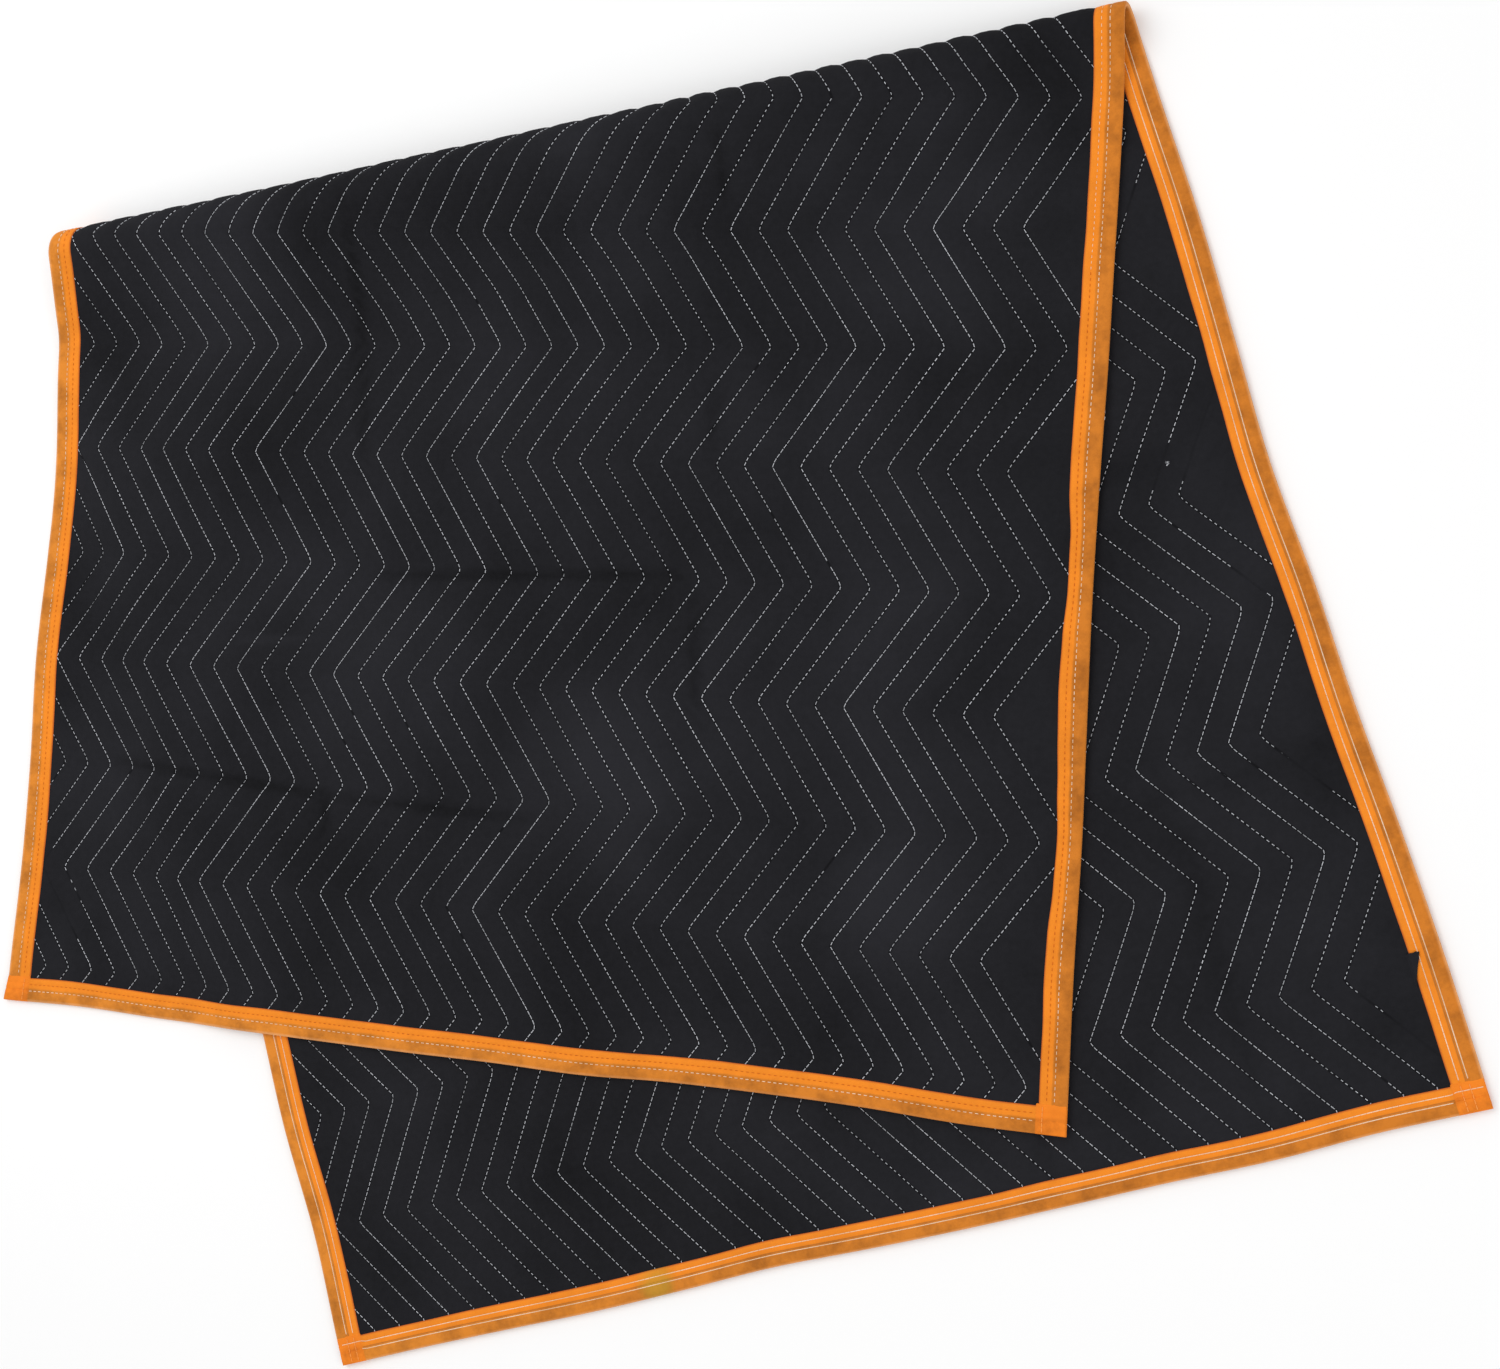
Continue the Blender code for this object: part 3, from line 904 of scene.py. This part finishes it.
def quilting(name, side, material, sizes):
    """All zigzag seams on one face of the pad, up to where the tapes cover them."""
    marks = seam_stations(sizes.quilting_stitch)
    # The thread is pulled tighter on the inner face
    half = sizes.quilting_thread / 2 * (0.9 if side > 0 else 1.0)
    count = len(marks) // STITCH_PARTS - 1
    seams = LAST_SEAM - FIRST_SEAM + 2
    chance = random.Random(11 if side < 0 else 12)
    spare = [chance.uniform(0.0, 1.0) for _ in range(seams * count)]
    tightness = [chance.uniform(3.8, 5.2) for _ in range(seams)]

    def place(row, number, shape):
        seam = FIRST_SEAM + row
        first = number * STITCH_PARTS
        luck = spare[row * count + number]
        # The tension changes along a seam, so some stretches are dashes and some nearly a line
        slack = waves(seam * 1.7, marks[first] * 4, side * 9.1)
        cover = min(max(tightness[row] + 0.8 * luck - 0.4 + 2.4 * slack, 3.0), 7.5)
        last = math.floor(first + cover)
        share = first + cover - last
        low = marks[first]
        high = marks[last] * (1 - share) + marks[last + 1] * share
        base = (seam - MIDDLE_SEAM) * SEAM_PITCH
        ends = [(base + zigzag(v), v) for v in (low, high)]
        covered = min(edge_distance(u, v) for u, v in ends) < SIDE_TAPE_START - UNDER_TAPE
        if luck > MISSING_ABOVE or covered or thread_out(seam, low, side):
            return None
        return thread_bar(shape, *[(u, v, half_thickness(u, v)) for u, v in ends], half, side)

    return stitch_rows(name, count, seams, place, material)


def tape_seams(name, material, sizes, white):
    """The lines of stitches that hold the four tapes, in white thread or in orange."""
    pitch, half = sizes.tape_stitch, sizes.tape_thread / 2
    edges = tape_edges()
    count = math.ceil(PAD_LENGTH / pitch)
    heights = {across: (share, abs(height) / 1000) for across, share, height in TAPE_PROFILE}

    def place(row, number, shape):
        edge = edges[row // len(TAPE_LINES)]
        across, cover, thickness = TAPE_LINES[row % len(TAPE_LINES)]
        length = (edge.end - edge.start).length
        along = (number + 0.5) * pitch
        from_end = min(along, length - along)
        stopped = edge.turned and from_end < TURNED_END + 0.001 and across != END_TO_END_LINE
        by_fold = edge.name == "right_edge_tape" and along < WHITE_UP_TO
        orange = across == ORANGE_LINE and not by_fold
        if from_end < 0.004 or stopped or white == orange:
            return None
        share, height = heights[across]
        side = 1 if across < 1 else -1
        ends = []
        for way in (-0.5, 0.5):
            flat, lift = tape_point(edge, along + way * cover * pitch, share, side)
            ends.append((flat.x, flat.y, height + lift + THREAD_LIFT))
        return thread_bar(shape, *ends, half * thickness, -side)

    return stitch_rows(name, count, len(edges) * len(TAPE_LINES), place, material)


def closing_seams(name, material, sizes):
    """The seams that close a hem's turned ends, and show faintly under a thin cover of fibres."""
    hems = [edge for edge in tape_edges() if edge.turned]
    half = sizes.tape_thread / 2 * 0.8

    def place(row, number, shape):
        # Two lines, ends and faces for each hem, but the outer face has only one line
        edge, second, end, outer = hems[row // 8], row // 4 % 2, row // 2 % 2, row % 2
        if second and outer:
            return None
        from_end = OUTER_CLOSING_LINE if outer else INNER_CLOSING_LINES[second]
        along = from_end if end else (edge.end - edge.start).length - from_end
        side = 1 if outer else -1
        ends = []
        for share in CLOSING_STITCH:
            flat, lift = tape_point(edge, along, share + CLOSING_PITCH * number, side)
            ends.append((flat.x, flat.y, TURNED_FACE + lift + THREAD_LIFT))
        return thread_bar(shape, *ends, half, -side)

    return stitch_rows(name, 5, 8 * len(hems), place, material)


def loose_ends(name, material, sizes):
    """Short ends of thread that lie on the inner face."""
    half = sizes.quilting_thread / 2

    def place(row, number, shape):
        u, v, to_u, to_v = [value / 1000 for value in LOOSE_ENDS[number]]
        ends = [(*end, half_thickness(*end)) for end in ((u, v), (to_u, to_v))]
        return thread_bar(shape, *ends, half * 1.3, 1)

    return stitch_rows(name, len(LOOSE_ENDS), 1, place, material)


# The torn scrap by the right edge tape: first corner, length along it, width, and how it widens
SCRAP_CORNER = (0.4755, 0.104)
SCRAP_LENGTH = 0.0275
SCRAP_WIDTH = 0.002
SCRAP_WIDENS = 0.0105


def torn_scrap(name, material):
    """A torn scrap of the cloth that has frayed out over the right edge tape on the inner face."""
    columns, rows = 8, 12
    bm = grid(columns, rows)
    wear_and_crease_shading = bm.verts.layers.float.new("wear_and_crease_shading")
    for vert in bm.verts:
        across, along = vert.co.x / columns, vert.co.y / rows
        ragged = 0.0008 * waves(across * 9, along * 14, 7.7)
        torn = 0.0014 * waves(across * 6, 2.2, 7.7) * along
        v = SCRAP_CORNER[1] + SCRAP_LENGTH * along + torn
        width = SCRAP_WIDTH + SCRAP_WIDENS * max(0.0, along - 0.12)
        u = SCRAP_CORNER[0] + width * across + ragged
        # It rises over the tape's inner edge
        lift = 0.0016 + 0.0016 * smooth((u - 0.4765) / 0.002)
        vert[wear_and_crease_shading] = 0.1
        vert.co = (u, v, lift + 0.0004 * along * across)
    bmesh.ops.solidify(bm, geom=bm.faces[:], thickness=0.0005)
    keep_flat(bm, lambda vert: vert.co.xy)
    for vert in bm.verts:
        vert.co = folded(*vert.co)
    return finished(bm, name, material)


def chosen_colour(name, description, hexadecimal):
    """A colour that a user can change, from an sRGB hex value."""
    shown = {"name": name, "description": description, "subtype": "COLOR"}
    return FloatVectorProperty(**shown, size=3, min=0, max=1, default=linear(hexadecimal))


def chosen_length(name, description, length):
    """A length that a user can change."""
    shown = {"name": name, "description": description, "unit": "LENGTH"}
    return FloatProperty(**shown, default=length, min=length / 2, max=length * 2)


class MOVINGPAD_PG_sizes(bpy.types.PropertyGroup):
    """Sizes of the stitching"""

    quilting_stitch: chosen_length("Quilting stitch", "From one quilting stitch to the next", 0.0047)
    quilting_thread: chosen_length("Quilting thread", "Width of the quilting thread", 0.00084)
    tape_stitch: chosen_length("Tape stitch", "From one stitch of a tape to the next", 0.00485)
    tape_thread: chosen_length("Tape thread", "Width of the thread that holds the tapes", 0.00105)


class MOVINGPAD_PG_colours(bpy.types.PropertyGroup):
    """Colours of the cloth, the tape, the threads and the floor"""

    # The two cloth colours are also the ends of the painted crease shading: darker in troughs, paler on
    # ridges
    cloth_dark: chosen_colour("Cloth", "Least worn cloth", "131315")
    cloth_pale: chosen_colour("Rubbed cloth", "Cloth rubbed by packing", "27272B")
    tape_bright: chosen_colour("Tape", "Clean inner half", "F28A1E")
    tape_dull_left: chosen_colour("Soiled tape, left", "Outer half at the left", "DE8629")
    tape_dull_right: chosen_colour("Soiled tape, right", "Outer half at the right", "D27B22")
    # The tape edge colour is painted shade where the tape meets the cloth
    tape_edge_shade: chosen_colour("Tape edge", "Cut inner edges of the tape", "C05C24")
    tape_rim: chosen_colour("Tape rim", "Tape round the pad's edge", "EAA262")
    # The tape crease colour is painted shade in the groove between the tape's two halves
    tape_crease_shade: chosen_colour("Tape crease", "Dirt between the two halves", "B8702C")
    tape_turned: chosen_colour("Turned ends", "Tape of the hems' turned ends", "F6861E")
    tape_stain: chosen_colour("Stain", "Oily stain on the lower hem", "B8922A")
    thread_dull: chosen_colour("Thread, dull", "Soiled white thread", "A6A8AC")
    thread_clean: chosen_colour("Thread, clean", "Clean white thread", "DCDEE4")
    tape_thread_dull: chosen_colour("Tape thread, dull", "White thread of the tapes, soiled", "E8C49A")
    tape_thread_clean: chosen_colour("Tape thread, clean", "White thread of the tapes, clean", "FCE4C4")
    tape_thread_covered: chosen_colour("Covered thread", "Thread that shows through the tape", "FAA552")
    orange_thread_dull: chosen_colour("Orange thread, dull", "Soiled orange thread", "BE6018")
    orange_thread_clean: chosen_colour("Orange thread, clean", "Clean orange thread", "D4701E")
    floor: chosen_colour("Floor", "Board that the pad lies on", "F8F8F8")


class MOVINGPAD_OT_stage(bpy.types.Operator):
    """Sets the camera, the lights and the floor"""

    bl_idname = "moving_pad.stage"
    bl_label = "Studio"

    def execute(self, context):
        scene = context.scene
        camera = bpy.data.objects.new("camera", bpy.data.cameras.new("camera"))
        right = Vector((0.91474, -0.26530, -0.30474))
        up = Vector((0.28587, 0.95797, 0.02412))
        forward = Vector((-0.28553, 0.10918, -0.95213))
        turn = Matrix((right, up, -forward)).transposed().to_4x4()
        camera.matrix_world = Matrix.Translation((0.6469, -0.2478, 1.6197)) @ turn
        camera.data.lens = 48
        camera.data.sensor_fit = "HORIZONTAL"
        camera.data.clip_start = 0.01
        scene.collection.objects.link(camera)
        scene.camera = camera
        scene.view_settings.view_transform = "Standard"

        world = bpy.data.worlds.new("studio")
        world.use_nodes = True
        background = world.node_tree.nodes["Background"]
        background.inputs["Color"].default_value = (1, 1, 1, 1)
        background.inputs["Strength"].default_value = 0.72
        scene.world = world
        for name, place, size, power in (
            ("overhead_softbox", (-0.8, 1.2, 2.4), 2.0, 31),
            ("side_softbox", (1.8, -1.4, 2.0), 1.6, 13),
        ):
            light = bpy.data.lights.new(name, "AREA")
            light.size = size
            light.energy = power
            lamp = bpy.data.objects.new(name, light)
            lamp.location = place
            lamp.rotation_euler = (-Vector(place)).to_track_quat("-Z", "Y").to_euler()
            scene.collection.objects.link(lamp)

        bm = bmesh.new()
        bmesh.ops.create_grid(bm, x_segments=1, y_segments=1, size=6)
        bmesh.ops.translate(bm, verts=bm.verts[:], vec=(0, 0, -0.0004))
        mesh = bpy.data.meshes.new("studio_floor")
        bm.to_mesh(mesh)
        bm.free()
        floor = bpy.data.objects.new("studio_floor", mesh)
        floor.data.materials.append(board(scene.moving_pad_colours))
        scene.collection.objects.link(floor)
        return {"FINISHED"}


class MOVINGPAD_OT_panel(bpy.types.Operator):
    """Builds the quilted cloth, with its torn scrap"""

    bl_idname = "moving_pad.panel"
    bl_label = "Quilted cloth"

    def execute(self, context):
        panel = quilted_panel(context.scene.moving_pad_colours)
        torn_scrap("torn_cloth_scrap", panel.data.materials[0])
        return {"FINISHED"}


class MOVINGPAD_OT_bindings(bpy.types.Operator):
    """Folds the four tapes round the pad's edges"""

    bl_idname = "moving_pad.bindings"
    bl_label = "Bindings"

    def execute(self, context):
        material = binding_tape(context.scene.moving_pad_colours)
        for edge in tape_edges():
            tape(edge, material)
        return {"FINISHED"}


class MOVINGPAD_OT_quilting(bpy.types.Operator):
    """Sews the zigzag seams on both faces"""

    bl_idname = "moving_pad.quilting"
    bl_label = "Quilting seams"

    def execute(self, context):
        colours, sizes = context.scene.moving_pad_colours, context.scene.moving_pad_sizes
        thread = sewing_thread("white_spun_polyester_thread", colours.thread_dull, colours.thread_clean)
        quilting("outer_face_quilting", -1, thread, sizes)
        quilting("inner_face_quilting", 1, thread, sizes)
        loose_ends("loose_thread_ends", thread, sizes)
        return {"FINISHED"}


class MOVINGPAD_OT_tape_seams(bpy.types.Operator):
    """Sews the tapes on, and closes the hems' turned ends"""

    bl_idname = "moving_pad.tape_seams"
    bl_label = "Tape seams"

    def execute(self, context):
        shades, sizes = context.scene.moving_pad_colours, context.scene.moving_pad_sizes
        white = sewing_thread("white_tape_thread", shades.tape_thread_dull, shades.tape_thread_clean)
        dull, clean = shades.orange_thread_dull, shades.orange_thread_clean
        orange = sewing_thread("orange_tape_thread", dull, clean)
        tape_seams("white_tape_seams", white, sizes, True)
        tape_seams("orange_tape_seams", orange, sizes, False)
        faint = shades.tape_thread_covered
        closing_seams("hem_end_seams", sewing_thread("covered_tape_thread", faint, faint), sizes)
        return {"FINISHED"}


class MOVINGPAD_PT_panel(bpy.types.Panel):
    """Lists the pad's sizes, colours and pieces"""

    bl_idname = "MOVINGPAD_PT_panel"
    bl_label = "Moving Pad"
    bl_space_type = "VIEW_3D"
    bl_region_type = "UI"
    bl_category = "Moving Pad"

    def draw(self, context):
        for group in (context.scene.moving_pad_sizes, context.scene.moving_pad_colours):
            box = self.layout.box()
            for name in type(group).__annotations__:
                box.prop(group, name)
        for operator in OPERATORS:
            self.layout.operator(operator.bl_idname)


OPERATORS = (
    MOVINGPAD_OT_stage,
    MOVINGPAD_OT_panel,
    MOVINGPAD_OT_bindings,
    MOVINGPAD_OT_quilting,
    MOVINGPAD_OT_tape_seams,
)
CLASSES = (MOVINGPAD_PG_sizes, MOVINGPAD_PG_colours, *OPERATORS, MOVINGPAD_PT_panel)


def register():
    for item in CLASSES:
        bpy.utils.register_class(item)
    bpy.types.Scene.moving_pad_sizes = PointerProperty(type=MOVINGPAD_PG_sizes)
    bpy.types.Scene.moving_pad_colours = PointerProperty(type=MOVINGPAD_PG_colours)


def unregister():
    del bpy.types.Scene.moving_pad_colours
    del bpy.types.Scene.moving_pad_sizes
    for item in reversed(CLASSES):
        bpy.utils.unregister_class(item)


def main():
    register()
    bpy.ops.moving_pad.stage()
    bpy.ops.moving_pad.panel()
    bpy.ops.moving_pad.bindings()
    bpy.ops.moving_pad.quilting()
    bpy.ops.moving_pad.tape_seams()


if __name__ == "__main__":
    main()
